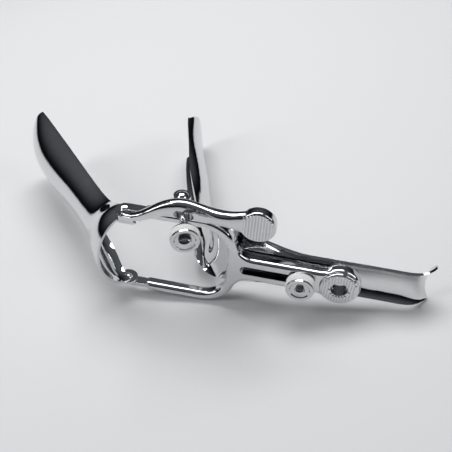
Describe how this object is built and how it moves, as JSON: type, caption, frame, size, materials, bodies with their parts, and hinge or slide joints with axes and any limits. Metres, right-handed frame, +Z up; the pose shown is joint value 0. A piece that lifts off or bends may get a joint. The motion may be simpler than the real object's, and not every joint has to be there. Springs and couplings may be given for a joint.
{
  "type": "bivalve speculum",
  "caption": "Polished steel bivalve speculum: two trough blades, sliding ring frame, thumb lever with screw rod, and knurled lock nuts.",
  "frame": {"origin": "Centre of the bounding box's bottom, on the table that the instrument lies on, lever side up.", "axes": "+X runs down the handle towards its curled end, +Y forward along the blades, +Z up from the table."},
  "size_m": [0.2606, 0.1528, 0.0776],
  "materials": {
    "lower_blade_and_handle": "mirror polished stainless steel",
    "upper_blade": "mirror polished stainless steel",
    "frame": "mirror polished stainless steel",
    "thumb_lever": "mirror polished stainless steel",
    "hinge_rivet_lever_side": "mirror polished stainless steel",
    "hinge_rivet_plain_side": "mirror polished stainless steel",
    "angle_screw_rod": "mirror polished stainless steel",
    "rod_end_bead": "mirror polished stainless steel",
    "rod_pivot_pin": "mirror polished stainless steel",
    "angle_nut": "mirror polished stainless steel",
    "width_stud": "mirror polished stainless steel",
    "width_nut": "mirror polished stainless steel"
  },
  "bodies": {
    "base": {"lower_blade_and_handle": "lower_blade_and_handle", "width_stud": "width_stud"},
    "frame": {"frame": "frame", "rod_pivot_pin": "rod_pivot_pin"},
    "upper_jaw": {"upper_blade": "upper_blade", "thumb_lever": "thumb_lever", "hinge_rivet_lever_side": "hinge_rivet_lever_side", "hinge_rivet_plain_side": "hinge_rivet_plain_side"},
    "screw_rod": {"angle_screw_rod": "angle_screw_rod", "rod_end_bead": "rod_end_bead"},
    "angle_nut": {"angle_nut": "angle_nut"},
    "width_nut": {"width_nut": "width_nut"}
  },
  "joints": [
    {"name": "frame_slide", "type": "slide", "parent": "base", "child": "frame", "axis": [0.9925, -0.0089, -0.1222], "range_m": [-0.0003, 0.028]},
    {"name": "blade_hinge", "type": "hinge", "parent": "frame", "child": "upper_jaw", "pos_m": [-0.03842, -0.04995, 0.03466], "axis": [0.1222, 0.1448, 0.9819], "range_deg": [-16, 2]},
    {"name": "rod_swing", "type": "hinge", "parent": "frame", "child": "screw_rod", "pos_m": [-0.0042, -0.04095, 0.06635], "axis": [0.1222, 0.1448, 0.9819], "range_deg": [-16, 2]},
    {"name": "angle_nut_travel", "type": "slide", "parent": "screw_rod", "child": "angle_nut", "axis": [0.2821, -0.9535, 0.1055], "range_m": [-0.002, 0.0006]},
    {"name": "width_nut_travel", "type": "slide", "parent": "base", "child": "width_nut", "axis": [0.0089, -0.9894, 0.1448], "range_m": [0, 0.002]}
  ],
  "couplings": [
    {"joint": "rod_swing", "follows": "blade_hinge", "ratio": 1}
  ]
}
